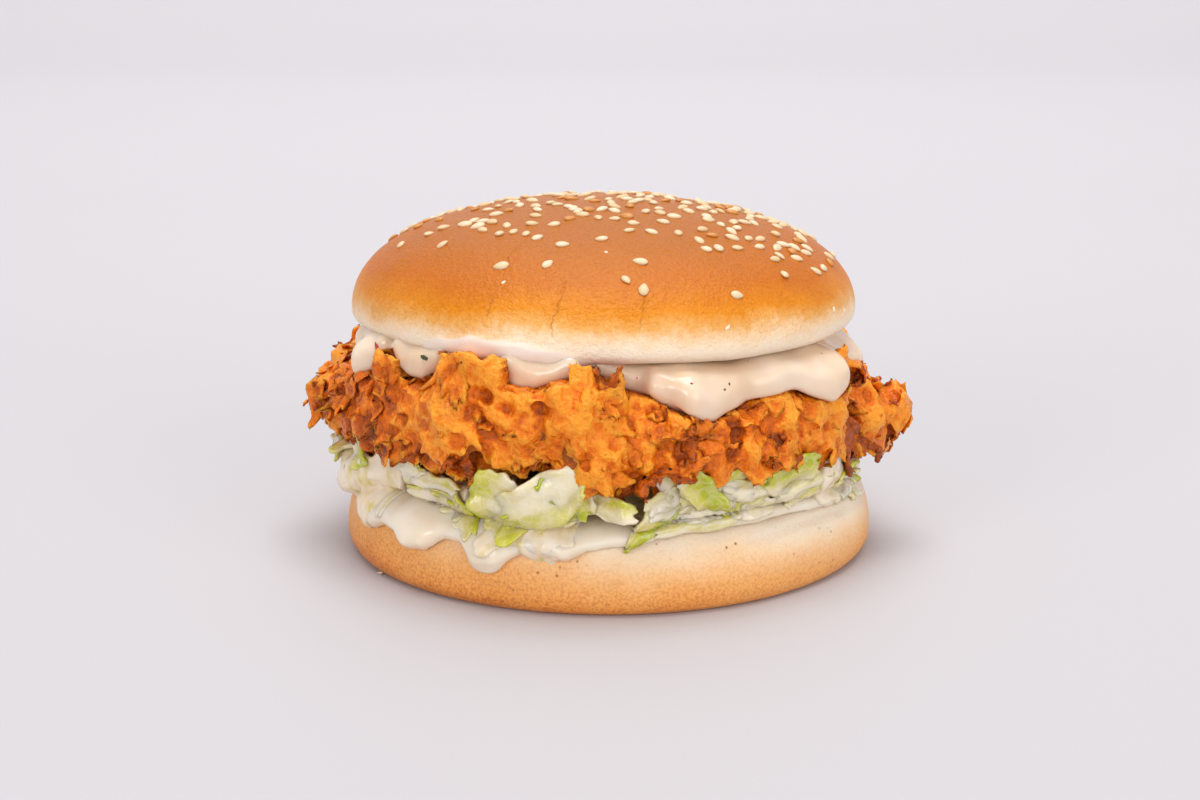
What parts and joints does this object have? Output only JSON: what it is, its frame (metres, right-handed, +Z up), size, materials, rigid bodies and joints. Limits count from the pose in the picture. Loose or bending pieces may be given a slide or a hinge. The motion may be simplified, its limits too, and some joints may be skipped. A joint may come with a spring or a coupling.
{
  "type": "fried chicken burger",
  "caption": "Fried chicken burger in a round sesame bun, with a craggy battered fillet wider than the bun, shredded lettuce, mayonnaise below and spicy sauce above.",
  "frame": {"origin": "on the surface it stands on, under the middle of the whole burger's outline", "axes": "+Z up; the front that shows the long mayonnaise drip and the wide sheet of spicy sauce faces -Y; +X is to that front's right, where the fillet reaches furthest out"},
  "size_m": [0.137, 0.1258, 0.078],
  "materials": {
    "baked_bread": "soft baked bread: golden side paling to cream at the cut, dull and finely pored",
    "mayonnaise": "glossy cream mayonnaise with black pepper specks",
    "iceberg_lettuce": "crisp wet iceberg lettuce, white ribs to bright green edges",
    "fried_batter": "craggy deep-fried crust, orange gold with dark hollows and a slight oily sheen",
    "spicy_mayonnaise": "glossy pale pink sauce with herb and chilli flecks",
    "golden_crust": "smooth satin crust, golden brown on top, paling to cream round its lower edge"
  },
  "bodies": {
    "root": {"bun_heel": "baked_bread", "mayonnaise": "mayonnaise", "lettuce": "iceberg_lettuce", "chicken_fillet": "fried_batter", "spicy_sauce": "spicy_mayonnaise", "bun_crown": "golden_crust"}
  },
  "joints": []
}
